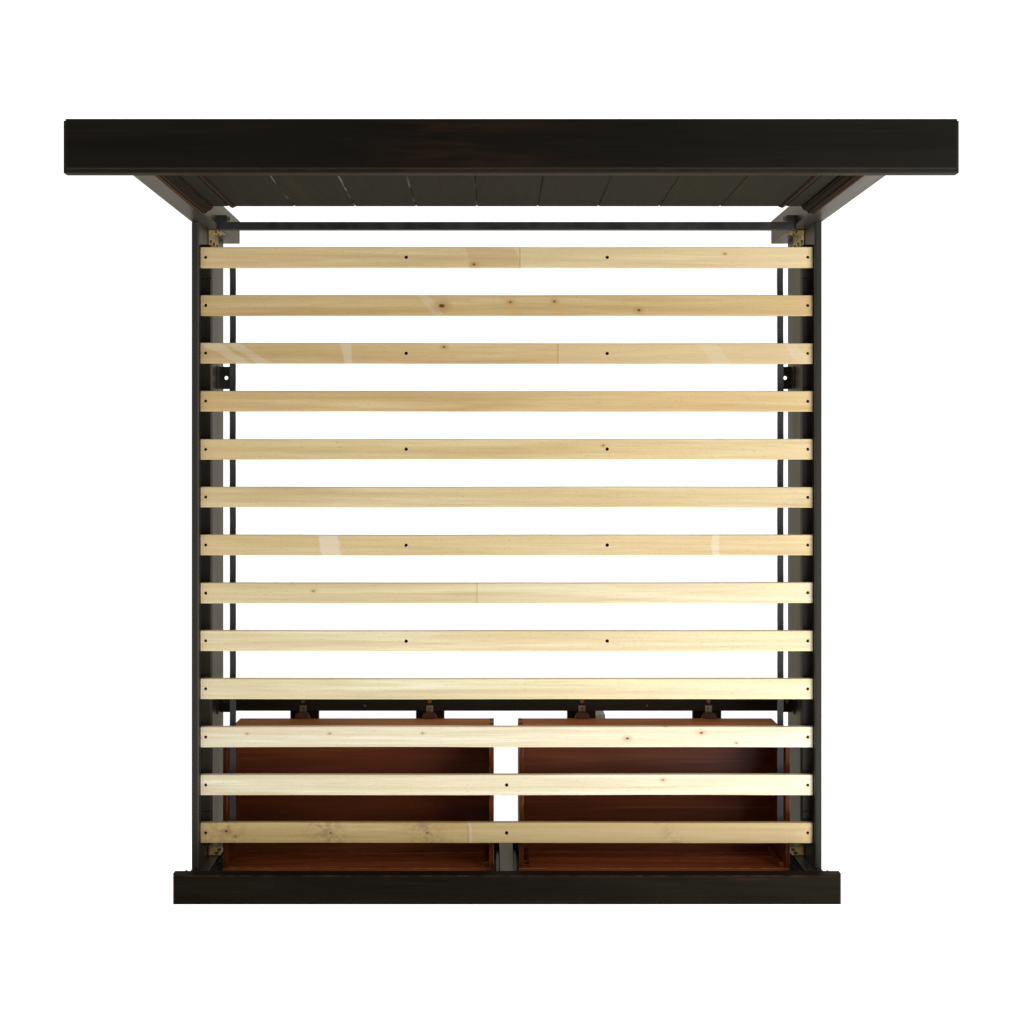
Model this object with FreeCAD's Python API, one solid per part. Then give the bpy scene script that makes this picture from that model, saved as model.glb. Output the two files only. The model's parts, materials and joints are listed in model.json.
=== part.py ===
import FreeCAD, Part
import os
from math import asin, cos, pi, sin

# King-size storage bed: panel headboard, low footboard with two drawers,
# solid slat deck. Millimetres, +Z up, +Y towards the headboard.
# The origin lies on the floor, in the middle of the bed's bounding box.

V = FreeCAD.Vector

# ---- driving dimensions: frame and headboard ------------------------------
INNER_LENGTH = 2066.0        # headboard front plane to footboard inner plane
INNER_WIDTH = 1968.0         # between the rails' inner faces
RAIL_THICK = 23.0
RAIL_BOTTOM = 35.0
RAIL_TOP = 400.0
RAIL_EDGE_RADIUS = 8.0
RAIL_OUTER_RADIUS = 3.0
POST_EDGE_RADIUS = 2.5

HEAD_POST_WIDTH = 73.0
HEAD_POST_DEPTH = 80.0
HEAD_POST_REBATE_DEPTH = 17.0
HEAD_POST_REBATE_HEIGHT = 48.0
HEADBOARD_HEIGHT = 1405.0
PANEL_BOTTOM = 550.0
PLANK_COUNT = 9
PLANK_PITCH = 187.0
PLANK_THICK = 12.0
PLANK_RECESS = 20.0
PLANK_GROOVE = 3.0
PLANK_FIELD_HALF = 858.0
TOP_RAIL_BOTTOM = 1190.0
BATTEN_THICK = 20.0
BATTEN_SPANS = ((550.0, 620.0), (860.0, 930.0), (1100.0, 1190.0))

CROWN_HALF_WIDTH = 1066.5
CROWN_THICK = 47.0
CROWN_BED_THICK = 31.0
CROWN_BEAD = 11.0            # how far the board under the crown shows at the sides
CROWN_FRONT_BEAD = 7.0
CROWN_FRONT_OVERHANG = 62.5
CROWN_DEPTH = 118.5
CROWN_COVE_SIZE = 34.0
COVE_LIP = 5.0
SLAB_EDGE_RADIUS = 2.5
BEAD_EDGE_RADIUS = 6.0

PANEL_MOULDING_WIDTH = 17.0
PANEL_MOULDING_PROUD = 5.0
PANEL_MOULDING_INNER = 834.0
OUTER_MOULDING_WIDTH = 39.0
OUTER_MOULDING_INNER = 905.0
OUTER_MOULDING_PROUD = 4.5   # where it laps onto the post
OUTER_MOULDING_TOP = 1274.0
BEAD_RADIUS = 5.0
BEAD_CRADLE = 1.5            # flat beside the bead, above the post's face
HOLLOW = (12.0, 8.0)         # hollow that rises from the planks to the bead
HOLLOW_FLAT = 3.0

BAR_SIZE = 24.0
BAR_WALL = 2.0
BAR_TOP = 368.0
BAR_BACK = 7.0               # behind the headboard's front plane
BAR_END_GAP = 4.0
BAR_BOX = (29.0, 21.0)       # boxed part of the bar's bracket: width, depth
BAR_BOX_WALL = 3.0
BAR_BOX_LOW = 330.0
BAR_BOX_LID = 4.0
BAR_EAR = 10.0
BAR_EAR_SET = 5.0            # from the bar's back to the ear
EAR_HOLE_RADIUS = 3.0
BAR_BOLT_HEIGHT = 348.0

# ---- driving dimensions: deck and fittings --------------------------------
SLAT_COUNT = 13
SLAT_PITCH = 153.9
SLAT_WIDTH = 66.0
SLAT_THICK = 19.0
SLAT_LENGTH = 1964.0
SLAT_TOP = 384.0
SLAT_EDGE_RADIUS = 2.5
SLAT_SCREW_X = 966.0
SCREW_SINK = 5.0             # radius and depth of the sinkings
SCREW_HEAD_RADIUS = 4.4
SCREW_HEAD_THICK = 2.6
SCREW_RECESS_DEPTH = 1.0
SCREW_RECESS = (2.5, 0.6)    # half length and half width of each slot
LEG_HOLE_X = 322.5
LEG_HOLE_RADIUS = 5.5
LEG_HOLE_SLATS = (1, 3, 5, 7, 9)
MIDDLE_HOLE_SLATS = (12, 13)
CLEAT_SIZE = 30.0
LONG_CLEAT_HALF = 858.0
END_CLEAT_HALF = 967.5
CLEAT_GAP = 2.0
STRAP_X = 883.0
STRAP_WIDTH = 20.0
STRAP_THICK = 1.6
STRAP_END_SET = 6.0          # short of the end slats' far edges

BRACKET_LOW = 126.0
BRACKET_HIGH = 272.0
BRACKET_RAIL_LEG = 62.0
BRACKET_POST_LEG = 41.0
BRACKET_POST_LEG_LOW = 190.0
BRACKET_PLATE = 3.0
BRACKET_BOLT_SHARE = 0.62    # along the rail leg
RAIL_BOLT_HEIGHTS = (150.0, 199.0, 248.0)
POST_BOLT_HEIGHTS = (212.0, 250.0)
BRACKET_HOLE_RADIUS = 3.5
BRACKET_HOLE_HEIGHTS = (138.0, 174.0, 224.0, 262.0)

FLANGE_HALF = 38.5
FLANGE_REACH = 44.0
FLANGE_PLATE = 3.0
FLANGE_HOLE_RADIUS = 6.5
FLANGE_HOLE_X = 960.0
FLANGE_Y = 555.0
FLANGE_WALL_RISE = 40.0
FLANGE_SCREW_OFFSET = 28.0

# ---- driving dimensions: drawer supports and footboard --------------------
SUPPORT_TOP = 125.0          # top of the footboard's bottom rail and the cross board
CROSS_BOARD_Y = -518.0       # edge towards the headboard
CROSS_BOARD_WIDTH = 66.0
CROSS_BOARD_THICK = 25.0
CROSS_BOARD_END_GAP = 3.5
RUNNER_X = (260.0, 692.0)
RUNNER_WIDTH = 97.0
RUNNER_THICK = 22.0
MONORAIL_WIDTH = 24.0
MONORAIL_HEIGHT = 11.0
MONORAIL_WALL = 1.5
MONORAIL_TAB = 34.0
MONORAIL_TAB_SET = 19.0      # tab's end, forward of the cross board's front edge
MONORAIL_HOLE_OFFSETS = (10.0, 22.0)
FOOT_WIDTH = 33.0
FOOT_BACK = -603.0
FOOT_DEPTH = 26.0
FOOT_RIB_COUNT = 5

FOOT_POST_WIDTH = 59.0
FOOT_POST_DEPTH = 55.0
POST_GROOVE_DEPTHS = (16.0, 27.0)
POST_GROOVE_HALF = 1.8
FOOTBOARD_HEIGHT = 510.0
CAP_HALF_WIDTH = 1036.5
CAP_THICK = 44.0
CAP_BED_THICK = 29.0
CAP_BEAD = 6.5
CAP_INNER_OVERHANG = 15.0
CAP_OUTER_OVERHANG = 20.5
FOOT_COVE_SIZE = 14.0
FOOT_COVE_RETURN = 13.0      # the cove runs on past the post, along the rail
FOOT_TOP_RAIL_BOTTOM = 436.0
FOOT_BOTTOM_RAIL_BOTTOM = 50.0
CENTRE_STILE_WIDTH = 47.0
CENTRE_STOP_WIDTH = 68.0
CENTRE_STOP_THICK = 12.0

# ---- driving dimensions: drawers -------------------------------------------
DRAWER_INNER_X = 41.0
DRAWER_OUTER_X = 922.0
DRAWER_BACK_Y = -605.0
DRAWER_CORNER_CUT = 20.0     # the outer rear corner is planed off diagonally
DRAWER_BOTTOM = 130.0
DRAWER_TOP = 330.0
DRAWER_WALL = 14.0
DRAWER_PANEL_THICK = 6.0
DRAWER_PANEL_RISE = 10.0
DRAWER_GROOVE = 6.0
DRAWER_FACE_THICK = 20.0
DRAWER_FACE_GAP = 3.0
FACE_BORDER = 42.0
FACE_SLOPE = 16.0
FACE_RECESS = 5.0
TAIL_COUNT = 3
CORNER_BLOCK = 18.0
CORNER_BLOCK_DROP = 6.0
POCKET_BATTEN = (23.0, 10.0)
POCKET_SIZE = 15.0
POCKET_HEIGHTS = (216.0, 296.0)
KNOB_RADIUS = 17.0
KNOB_PROJECTION = 30.0
KNOB_DOME = 7.0
KNOB_X_FRACTION = 0.25
GUIDE_HALF_WIDTH = 26.0
GUIDE_NOSE_HALF = 20.0
GUIDE_REACH = 18.0
GUIDE_RISE = 9.0
GUIDE_STEP = 5.0
GUIDE_NOSE_RADIUS = 6.0
GUIDE_CLEARANCE = 1.0        # round the monorail

# ---- derived planes -----------------------------------------------------
rail_inner = INNER_WIDTH / 2
rail_outer = rail_inner + RAIL_THICK
head_y = INNER_LENGTH / 2
foot_y = -INNER_LENGTH / 2
head_back_y = head_y + HEAD_POST_DEPTH
foot_front_y = foot_y - FOOT_POST_DEPTH
head_post_inner = rail_outer - HEAD_POST_WIDTH
foot_post_inner = rail_outer - FOOT_POST_WIDTH
crown_front_y = head_y - CROWN_FRONT_OVERHANG
crown_back_y = crown_front_y + CROWN_DEPTH
crown_bottom = HEADBOARD_HEIGHT - CROWN_THICK
cap_bottom = FOOTBOARD_HEIGHT - CAP_THICK
plank_front_y = head_y + PLANK_RECESS
plank_back_y = plank_front_y + PLANK_THICK
frieze_bottom = OUTER_MOULDING_TOP + head_post_inner - OUTER_MOULDING_INNER
slat_bottom = SLAT_TOP - SLAT_THICK
cross_board_low = SUPPORT_TOP - CROSS_BOARD_THICK
cross_board_front = CROSS_BOARD_Y - CROSS_BOARD_WIDTH
box_front_y = foot_front_y + DRAWER_FACE_THICK
inside_front_y = box_front_y + DRAWER_WALL
inside_back_y = DRAWER_BACK_Y - DRAWER_WALL
panel_low = DRAWER_BOTTOM + DRAWER_PANEL_RISE
panel_high = panel_low + DRAWER_PANEL_THICK
face_x0 = CENTRE_STILE_WIDTH / 2 + DRAWER_FACE_GAP
face_x1 = foot_post_inner - DRAWER_FACE_GAP
knob_tip_y = foot_front_y - KNOB_PROJECTION
y_shift = -(knob_tip_y + head_back_y) / 2   # brings the box's middle to y = 0

os.makedirs("parts", exist_ok=True)


# ---- helpers ------------------------------------------------------------
def block(x0, x1, y0, y1, z0, z1):
    """Axis-aligned box between two corners."""
    corner = V(min(x0, x1), min(y0, y1), min(z0, z1))
    return Part.makeBox(abs(x1 - x0), abs(y1 - y0), abs(z1 - z0), corner)


def mirrored(shape):
    """The same piece on the other side of the bed."""
    return shape.mirror(V(0, 0, 0), V(1, 0, 0))


def both_sides(shapes):
    """Right-hand pieces followed by their left-hand twins."""
    return list(shapes) + [mirrored(shape) for shape in shapes]


def prism(points, direction):
    """Polygon through the points, pushed along a direction."""
    wire = Part.makePolygon([V(*point) for point in points] + [V(*points[0])])
    return Part.Face(wire).extrude(V(*direction))


def rounded(shape, radius, keep):
    """Fillet the straight edges that the test function accepts."""
    edges = [edge for edge in shape.Edges if keep(edge)]
    return shape.makeFillet(radius, edges)


def edge_box(edge):
    box = edge.BoundBox
    return box.XLength, box.YLength, box.ZLength


def is_vertical(edge):
    dx, dy, dz = edge_box(edge)
    return dx < 1e-6 and dy < 1e-6 and dz > 1.0


def save(name, shapes):
    """Write one node: its pieces, moved so that the box is centred."""
    pieces = shapes if isinstance(shapes, list) else [shapes]
    moved = [piece.translated(V(0, y_shift, 0)) for piece in pieces]
    node = moved[0] if len(moved) == 1 else Part.makeCompound(moved)
    node.exportStep("parts/" + name + ".step")


# ---- headboard ----------------------------------------------------------
def headboard_post():
    """Square post, set back behind its top where the crown sits over it."""
    post = block(head_post_inner, rail_outer, head_y, head_back_y, 0, crown_bottom)
    post = rounded(post, POST_EDGE_RADIUS, is_vertical)
    front = head_back_y - HEAD_POST_REBATE_DEPTH
    low = crown_bottom - HEAD_POST_REBATE_HEIGHT
    beyond = head_back_y + 1.0
    return post.cut(block(head_post_inner - 1.0, rail_outer + 1.0, front, beyond, low, crown_bottom))


def headboard_stile():
    return block(PLANK_FIELD_HALF, head_post_inner, plank_front_y, plank_back_y, PANEL_BOTTOM, crown_bottom)


def headboard_planks():
    """Nine boards side by side, with a V groove at each joint."""
    planks = []
    for number in range(PLANK_COUNT):
        centre = (number - (PLANK_COUNT - 1) / 2) * PLANK_PITCH
        left = centre - PLANK_PITCH / 2
        right = centre + PLANK_PITCH / 2
        if number == 0:
            left = -PLANK_FIELD_HALF
        if number == PLANK_COUNT - 1:
            right = PLANK_FIELD_HALF
        points = [
            (left, plank_back_y, PANEL_BOTTOM),
            (left, plank_front_y + PLANK_GROOVE, PANEL_BOTTOM),
            (left + PLANK_GROOVE, plank_front_y, PANEL_BOTTOM),
            (right - PLANK_GROOVE, plank_front_y, PANEL_BOTTOM),
            (right, plank_front_y + PLANK_GROOVE, PANEL_BOTTOM),
            (right, plank_back_y, PANEL_BOTTOM),
        ]
        planks.append(prism(points, (0, 0, TOP_RAIL_BOTTOM - PANEL_BOTTOM)))
    return planks


def headboard_top_rail():
    """Rail above the planks, and the frieze board glued on its upper part."""
    field = PLANK_FIELD_HALF
    rail = block(-field, field, plank_front_y, plank_back_y, TOP_RAIL_BOTTOM, crown_bottom)
    half = head_post_inner
    frieze = block(-half, half, head_y, plank_front_y, frieze_bottom, crown_bottom)
    return [rail, frieze]


def headboard_back_battens():
    """Battens screwed across the planks' backs, between the posts."""
    back = plank_back_y + BATTEN_THICK
    half = head_post_inner
    return [block(-half, half, plank_back_y, back, low, high) for low, high in BATTEN_SPANS]


def moulded_slab(half_width, front, back, bottom, top, bed_thick, side_bead, front_bead, back_bead):
    """Top board on a slightly larger one, whose rounded edge shows as a bead."""
    board = block(-half_width, half_width, front, back, bottom, top)
    board = rounded(board, SLAB_EDGE_RADIUS, lambda edge: edge.BoundBox.ZMin > top - 0.1)
    half = half_width + side_bead
    bed_top = bottom + bed_thick
    bed = block(-half, half, front - front_bead, back + back_bead, bottom, bed_top)

    def showing(edge):
        box = edge.BoundBox
        on_top = box.ZMin > bed_top - 0.1
        at_side = box.XMin > half - 0.1 or box.XMax < 0.1 - half
        at_front = front_bead > 0 and box.YMax < front - front_bead + 0.1
        at_back = back_bead > 0 and box.YMin > back + back_bead - 0.1
        return on_top and (at_side or at_front or at_back)

    bed = rounded(bed, BEAD_EDGE_RADIUS, showing)
    return board.fuse(bed).removeSplitter()


def headboard_crown():
    return moulded_slab(CROWN_HALF_WIDTH, crown_front_y, crown_back_y, crown_bottom, HEADBOARD_HEIGHT,
                        CROWN_BED_THICK, CROWN_BEAD, CROWN_FRONT_BEAD, 0.0)


def cove_profile(size):
    """Quarter-hollow moulding section, corner at (0, 0), as wire points."""
    steps = 8
    points = [(0.0, 0.0), (size, 0.0), (size, -COVE_LIP)]
    reach = size - COVE_LIP
    for step in range(1, steps):
        angle = pi / 2 * step / steps
        points.append((size - reach * sin(angle), -size + reach * cos(angle)))
    points += [(COVE_LIP, -size), (0.0, -size)]
    return points


def cove_set(front, back, half_width, top, size):
    """Cove along the front, mitred to a return down each side."""
    section = cove_profile(size)
    across = [(-half_width - size, front - u, top + v) for u, v in section]
    front_run = prism(across, (2 * (half_width + size), 0, 0))
    along = [(half_width + u, front - size, top + v) for u, v in section]
    side_run = prism(along, (0, back - front + size, 0))
    low = top - 2 * size
    far = 3 * size
    corner = (half_width, front, low)
    outside = (half_width + far, front - far, low)
    beside = prism([corner, outside, (half_width + far, front, low)], (0, 0, top - low))
    before = prism([corner, (half_width, front - far, low), outside], (0, 0, top - low))
    front_run = front_run.cut(beside).cut(mirrored(beside))
    return [front_run] + both_sides([side_run.cut(before)])


def headboard_crown_cove():
    return cove_set(head_y, crown_back_y, rail_outer, crown_bottom, CROWN_COVE_SIZE)


def outer_section():
    """Steps up from the planks to a bead, then laps onto the post's face."""
    width = OUTER_MOULDING_WIDTH
    lap = head_post_inner - OUTER_MOULDING_INNER
    post = PLANK_RECESS
    crest = post + OUTER_MOULDING_PROUD
    fillet = post + BEAD_CRADLE
    section = [(0.0, 0.0), (lap, 0.0), (lap, post), (width, post), (width, crest - 1.0)]
    section += [(width - 1.0, crest), (width - 5.0, crest), (width - 7.0, fillet)]
    bead_u = lap - BEAD_RADIUS - 1.0
    bead_v = post - 2.0
    section.append((bead_u + BEAD_RADIUS, fillet))
    steps = 8
    for step in range(steps + 1):
        angle = pi * step / steps
        section.append((bead_u + BEAD_RADIUS * cos(angle), bead_v + BEAD_RADIUS * sin(angle)))
    hollow_u = bead_u - BEAD_RADIUS - HOLLOW_FLAT
    for step in range(steps + 1):
        angle = pi / 2 * step / steps
        section.append((hollow_u - HOLLOW[0] * sin(angle), bead_v - 4.0 - HOLLOW[1] * (1 - cos(angle))))
    return section + [(0.0, bead_v - 4.0 - HOLLOW[1])]


def panel_section():
    """Flat bead that frames the planks."""
    width = PANEL_MOULDING_WIDTH
    proud = PANEL_MOULDING_PROUD
    section = [(0.0, 0.0), (width, 0.0), (width, 0.6 * proud), (0.72 * width, proud), (0.42 * width, proud)]
    return section + [(0.34 * width, 0.5 * proud), (0.10 * width, 0.5 * proud), (0.0, 0.2 * proud)]


def moulding_frame(section, inner, top_inner):
    """Two uprights and a head piece of one section, mitred at the corners."""
    far = 400.0
    base_y = plank_front_y
    upright = [(inner + u, base_y - v, PANEL_BOTTOM) for u, v in section]
    upright = prism(upright, (0, 0, top_inner + far - PANEL_BOTTOM))
    across = [(-inner - far, base_y - v, top_inner + u) for u, v in section]
    across = prism(across, (2 * (inner + far), 0, 0))
    corner = (inner, base_y - far, top_inner)
    outside = (inner + far, base_y - far, top_inner + far)
    above = [corner, outside, (inner - far, base_y - far, top_inner + far)]
    above.append((inner - far, base_y - far, top_inner))
    beside = [corner, outside, (inner + far, base_y - far, top_inner - far)]
    beside.append((inner, base_y - far, top_inner - far))
    upper = prism(above, (0, 2 * far, 0))
    lower = prism(beside, (0, 2 * far, 0))
    return [across.cut(lower).cut(mirrored(lower))] + both_sides([upright.cut(upper)])


def headboard_outer_moulding():
    return moulding_frame(outer_section(), OUTER_MOULDING_INNER, OUTER_MOULDING_TOP)


def headboard_panel_moulding():
    return moulding_frame(panel_section(), PANEL_MOULDING_INNER, TOP_RAIL_BOTTOM - PANEL_MOULDING_WIDTH)


def head_cross_bar():
    """Steel tube between the headboard posts, at slat height."""
    half = head_post_inner - BAR_END_GAP
    back = head_y + BAR_BACK
    front = back - BAR_SIZE
    low = BAR_TOP - BAR_SIZE
    wall = BAR_WALL
    tube = block(-half, half, front, back, low, BAR_TOP)
    return tube.cut(block(-half, half, front + wall, back - wall, low + wall, BAR_TOP - wall))


def cross_bar_bracket():
    """Folded plate on the post's inner face, boxed in behind the bar."""
    wide, deep = BAR_BOX
    wall = BAR_BOX_WALL
    x1 = head_post_inner - BAR_END_GAP
    x0 = x1 - wide
    y0 = head_y + BAR_BACK
    y1 = y0 + deep
    top = BAR_TOP + BAR_BOX_LID
    plate = block(x1, head_post_inner, y0 - BAR_SIZE, y1, BAR_BOX_LOW, top)
    lid = block(x0, x1, y0, y1, BAR_TOP, top)
    side = block(x0, x0 + wall, y0, y1, BAR_BOX_LOW, BAR_TOP)
    rear = block(x0, x1, y1 - wall, y1, BAR_BOX_LOW, BAR_TOP)
    ear_y0 = y0 + BAR_EAR_SET
    ear = block(x0 - BAR_EAR, x0, ear_y0, y1 - BAR_EAR_SET, BAR_TOP, top)
    hole_at = V(x0 - BAR_EAR / 2, (ear_y0 + y1 - BAR_EAR_SET) / 2, BAR_TOP - 1.0)
    hole = Part.makeCylinder(EAR_HOLE_RADIUS, BAR_BOX_LID + 2.0, hole_at)
    return plate.fuse([lid, side, rear, ear]).removeSplitter().cut(hole)


# ---- side rails and deck --------------------------------------------------
def top_edge_at(solid, x):
    """The long top edges of a rail that lie on the plane at x."""
    found = []
    for edge in solid.Edges:
        box = edge.BoundBox
        if box.YLength > 1000.0 and box.ZMin > RAIL_TOP - 0.1 and abs(box.XMin - x) < 0.1:
            found.append(edge)
    return found


def side_rail():
    """Deep rail board with a well rounded inner top edge."""
    rail = block(rail_inner, rail_outer, foot_y, head_y, RAIL_BOTTOM, RAIL_TOP)
    rail = rail.makeFillet(RAIL_EDGE_RADIUS, top_edge_at(rail, rail_inner))
    return rail.makeFillet(RAIL_OUTER_RADIUS, top_edge_at(rail, rail_outer))


def slat_cleats():
    """Ledge strips glued to the rails: one long and two short a side."""
    x0 = rail_inner - CLEAT_SIZE
    low = slat_bottom - CLEAT_SIZE
    long_cleat = block(x0, rail_inner, -LONG_CLEAT_HALF, LONG_CLEAT_HALF, low, slat_bottom)
    near = LONG_CLEAT_HALF + CLEAT_GAP
    head_cleat = block(x0, rail_inner, near, END_CLEAT_HALF, low, slat_bottom)
    foot_cleat = block(x0, rail_inner, -END_CLEAT_HALF, -near, low, slat_bottom)
    return both_sides([long_cleat, head_cleat, foot_cleat])


def slat_y(number):
    """Middle of slat 1 (at the headboard) to slat 13 (at the footboard)."""
    return ((SLAT_COUNT + 1) / 2 - number) * SLAT_PITCH


def slat(number):
    """One board, with its leg holes and the sinkings for its screws."""
    half = SLAT_LENGTH / 2
    y = slat_y(number)
    board = block(-half, half, y - SLAT_WIDTH / 2, y + SLAT_WIDTH / 2, slat_bottom, SLAT_TOP)
    board = rounded(board, SLAT_EDGE_RADIUS, lambda edge: edge_box(edge)[0] > half)
    holes = []
    if number in LEG_HOLE_SLATS:
        holes = [-LEG_HOLE_X, LEG_HOLE_X]
    if number in MIDDLE_HOLE_SLATS:
        holes = [0.0]
    for x in holes:
        base = V(x, y, slat_bottom - 1.0)
        board = board.cut(Part.makeCylinder(LEG_HOLE_RADIUS, SLAT_THICK + 2.0, base))
    for x in (-SLAT_SCREW_X, SLAT_SCREW_X):
        base = V(x, y, SLAT_TOP - SCREW_SINK)
        board = board.cut(Part.makeCylinder(SCREW_SINK, SCREW_SINK + 1.0, base))
    return board


def slat_screws():
    """Round heads sunk in the slats' end holes, with a cross recess."""
    screws = []
    low = SLAT_TOP - SCREW_SINK
    slot_low = low + SCREW_HEAD_THICK - SCREW_RECESS_DEPTH
    long_half, short_half = SCREW_RECESS
    for number in range(1, SLAT_COUNT + 1):
        y = slat_y(number)
        for x in (-SLAT_SCREW_X, SLAT_SCREW_X):
            head = Part.makeCylinder(SCREW_HEAD_RADIUS, SCREW_HEAD_THICK, V(x, y, low))
            for half_x, half_y in ((long_half, short_half), (short_half, long_half)):
                slot = block(x - half_x, x + half_x, y - half_y, y + half_y, slot_low, SLAT_TOP)
                head = head.cut(slot)
            screws.append(head)
    return screws


def slat_straps():
    """Webbing along the undersides of the slats, first to last."""
    reach = slat_y(1) + SLAT_WIDTH / 2 - STRAP_END_SET
    x0 = STRAP_X - STRAP_WIDTH / 2
    strap = block(x0, x0 + STRAP_WIDTH, -reach, reach, slat_bottom - STRAP_THICK, slat_bottom)
    return both_sides([strap])


# ---- steel fittings -------------------------------------------------------
def corner_bracket(corner_y, into_bed):
    """Angle in the corner of rail and post; into_bed is +1 or -1 along Y."""
    x1 = rail_inner
    far_y = corner_y + into_bed * BRACKET_RAIL_LEG
    rail_leg = block(x1 - BRACKET_PLATE, x1, corner_y, far_y, BRACKET_LOW, BRACKET_HIGH)
    near_y = corner_y + into_bed * BRACKET_PLATE
    x0 = x1 - BRACKET_POST_LEG
    post_leg = block(x0, x1, corner_y, near_y, BRACKET_POST_LEG_LOW, BRACKET_HIGH)
    bracket = rail_leg.fuse(post_leg).removeSplitter()
    radius = BRACKET_HOLE_RADIUS
    for share in (0.3, 0.86):
        y = corner_y + into_bed * BRACKET_RAIL_LEG * share
        for height in BRACKET_HOLE_HEIGHTS:
            bracket = bracket.cut(Part.makeCylinder(radius, 10.0, V(x1 - 6.0, y, height), V(1, 0, 0)))
    return bracket


def corner_brackets():
    return both_sides([corner_bracket(head_y, -1), corner_bracket(foot_y, 1)])


def hex_head(centre, axis, across, thick):
    """Hexagonal bolt head and washer on a face square to X or Y."""
    radius = across / 2 / cos(pi / 6)
    sideways = V(0, 1, 0) if abs(axis[0]) > 0.5 else V(1, 0, 0)
    ring = []
    for corner in range(6):
        angle = pi / 3 * corner
        ring.append(V(*centre) + sideways * (radius * cos(angle)) + V(0, 0, radius * sin(angle)))
    head = Part.Face(Part.makePolygon(ring + [ring[0]])).extrude(V(*axis) * thick)
    washer = Part.makeCylinder(radius * 1.25, 1.5, V(*centre), V(*axis))
    return head.fuse(washer).removeSplitter()


def bracket_bolts():
    """Bolts through both legs of each corner bracket, and the bar bracket's."""
    bolts = []
    rail_x = rail_inner - BRACKET_PLATE
    post_x = rail_inner - 0.6 * BRACKET_POST_LEG
    for corner_y, into_bed in ((head_y, -1), (foot_y, 1)):
        bolt_y = corner_y + into_bed * BRACKET_RAIL_LEG * BRACKET_BOLT_SHARE
        face_y = corner_y + into_bed * BRACKET_PLATE
        for height in RAIL_BOLT_HEIGHTS:
            bolts.append(hex_head((rail_x, bolt_y, height), (-1, 0, 0), 13.0, 6.0))
        for height in POST_BOLT_HEIGHTS:
            bolts.append(hex_head((post_x, face_y, height), (0, into_bed, 0), 10.0, 5.0))
    bar_x = head_post_inner - BAR_END_GAP
    bar_y = head_y + BAR_BACK + BAR_BOX[1] / 2
    bolts.append(hex_head((bar_x, bar_y, BAR_BOLT_HEIGHT), (-1, 0, 0), 10.0, 5.0))
    return both_sides(bolts)


def rail_bracket(middle_y):
    """Angle plate low on the rail: its flange carries a cross board's end."""
    low = cross_board_low - FLANGE_PLATE
    near = middle_y - FLANGE_HALF
    far = middle_y + FLANGE_HALF
    flange = block(rail_inner - FLANGE_REACH, rail_inner, near, far, low, cross_board_low)
    top = cross_board_low + FLANGE_WALL_RISE
    wall = block(rail_inner - FLANGE_PLATE, rail_inner, near, far, low, top)
    hole = Part.makeCylinder(FLANGE_HOLE_RADIUS, 10.0, V(FLANGE_HOLE_X, middle_y, low - 3.0))
    return flange.fuse(wall).removeSplitter().cut(hole)


def rail_brackets():
    return both_sides([rail_bracket(FLANGE_Y), rail_bracket(-FLANGE_Y)])


def pan_head(centre, axis, radius, thick):
    """Low round screw head with a round socket half-way down."""
    head = Part.makeCylinder(radius, thick, V(*centre), V(*axis))
    half_way = V(*centre) + V(*axis) * (thick * 0.5)
    return head.cut(Part.makeCylinder(radius * 0.35, thick, half_way, V(*axis)))


def frame_screws():
    """Screws in the rail brackets, and down through the cross board."""
    screws = []
    wall_x = rail_inner - FLANGE_PLATE
    wall_z = cross_board_low + 0.8 * FLANGE_WALL_RISE
    for middle_y in (FLANGE_Y, -FLANGE_Y):
        for offset in (-FLANGE_SCREW_OFFSET, FLANGE_SCREW_OFFSET):
            screws.append(pan_head((wall_x, middle_y + offset, wall_z), (-1, 0, 0), 4.0, 2.6))
    middle = (CROSS_BOARD_Y + cross_board_front) / 2
    for x in RUNNER_X + (FLANGE_HOLE_X,):
        screws.append(pan_head((x, middle, SUPPORT_TOP), (0, 0, 1), 7.0, 3.0))
    drawer_middle = (DRAWER_INNER_X + DRAWER_OUTER_X) / 2
    screws.append(pan_head((drawer_middle, middle - 15.0, SUPPORT_TOP), (0, 0, 1), 4.0, 2.0))
    return both_sides(screws)


# ---- drawer supports ------------------------------------------------------
def drawer_cross_board():
    """Flat board from rail to rail behind the drawers, on the rail brackets."""
    half = rail_inner - CROSS_BOARD_END_GAP
    return block(-half, half, cross_board_front, CROSS_BOARD_Y, cross_board_low, SUPPORT_TOP)


def runner_boards():
    """Boards under the drawers, from under the cross board to the footboard."""
    half = RUNNER_WIDTH / 2
    low = cross_board_low - RUNNER_THICK
    boards = []
    for x in RUNNER_X:
        boards.append(block(x - half, x + half, foot_y, CROSS_BOARD_Y, low, cross_board_low))
    return both_sides(boards)


def monorail(x):
    """Inverted steel channel with a flat, drilled tab on the cross board."""
    half = MONORAIL_WIDTH / 2
    inner = half - MONORAIL_WALL
    rear = cross_board_front + MONORAIL_TAB_SET
    tab_front = rear - MONORAIL_TAB
    front = foot_y - 12.0
    top = SUPPORT_TOP + MONORAIL_HEIGHT
    channel = block(x - half, x + half, front, tab_front, SUPPORT_TOP, top)
    hollow_end = tab_front - MONORAIL_WALL
    hollow_top = top - MONORAIL_WALL
    channel = channel.cut(block(x - inner, x + inner, front - 1, hollow_end, SUPPORT_TOP - 1, hollow_top))
    rail = channel.fuse(block(x - half, x + half, tab_front, rear, SUPPORT_TOP, SUPPORT_TOP + 2.0))
    rail = rail.removeSplitter()
    for offset in MONORAIL_HOLE_OFFSETS:
        rail = rail.cut(Part.makeCylinder(2.6, 8.0, V(x, rear - offset, SUPPORT_TOP - 2.0)))
    return rail


def monorails():
    return both_sides([monorail(x) for x in RUNNER_X])


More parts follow.
